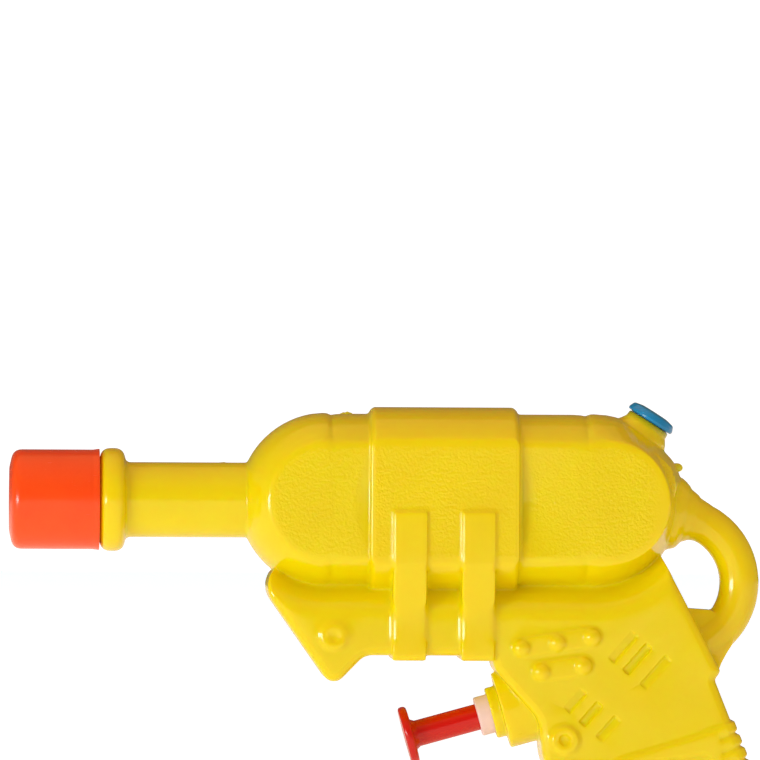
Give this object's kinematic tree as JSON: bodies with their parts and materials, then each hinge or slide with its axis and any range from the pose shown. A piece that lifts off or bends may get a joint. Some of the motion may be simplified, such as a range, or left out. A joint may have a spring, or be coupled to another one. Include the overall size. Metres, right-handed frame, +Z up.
{
  "type": "water squirter",
  "caption": "Hand pumped toy water pistol: moulded half shells form tank and grip, with muzzle cap, filler plug, sprung plunger trigger, ball valves and a rear loop.",
  "frame": {"origin": "centre of the muzzle cap's front face, on the barrel axis, where the jet leaves", "axes": "+X to the rear along the barrel axis, +Z up, +Y to the side with the locating pins"},
  "size_m": [0.1514, 0.0296, 0.1004],
  "materials": {
    "yellow_plastic": "glossy moulding with spark texture on the flats",
    "orange_plastic": "glossy moulding",
    "blue_plastic": "soft glossy moulding",
    "red_plastic": "glossy moulding",
    "pale_plastic": "natural, slightly pink moulding",
    "white_plastic": "natural white moulding",
    "tube_plastic": "soft milky tube",
    "black_rubber": "matt rubber",
    "steel": "drawn bright"
  },
  "bodies": {
    "housing": {"left_shell": "yellow_plastic", "right_shell": "yellow_plastic", "muzzle_cap": "orange_plastic", "nozzle_insert": "white_plastic", "nozzle_seal": "black_rubber", "delivery_tube": "tube_plastic", "pump_cylinder": "white_plastic", "guide_bush": "pale_plastic", "rod_seal": "black_rubber", "valve_block": "white_plastic", "suction_spigot": "white_plastic", "suction_tube": "tube_plastic", "outlet_spigot": "white_plastic", "return_spring": "steel"},
    "trigger": {"trigger_plunger": "red_plastic", "piston": "white_plastic", "piston_seal": "black_rubber"},
    "inlet_valve_ball": {"inlet_ball": "steel"},
    "outlet_valve_ball": {"outlet_ball": "steel"},
    "plug": {"filler_plug": "blue_plastic"}
  },
  "joints": [
    {"name": "trigger_slide", "type": "slide", "parent": "housing", "child": "trigger", "axis": [0.9636, 0, 0.2672], "range_m": [0, 0.01], "stiffness_N_per_m": 280, "springref_m": -0.004, "deforming": ["return_spring"]},
    {"name": "plug_pull", "type": "slide", "parent": "housing", "child": "plug", "axis": [0.5373, 0, 0.8434], "range_m": [0, 0.015]},
    {"name": "inlet_ball_lift", "type": "slide", "parent": "housing", "child": "inlet_valve_ball", "axis": [-0.2672, 0, 0.9636], "range_m": [0, 0.0008]},
    {"name": "outlet_ball_lift", "type": "slide", "parent": "housing", "child": "outlet_valve_ball", "axis": [-0.2672, 0, 0.9636], "range_m": [0, 0.0008]}
  ]
}
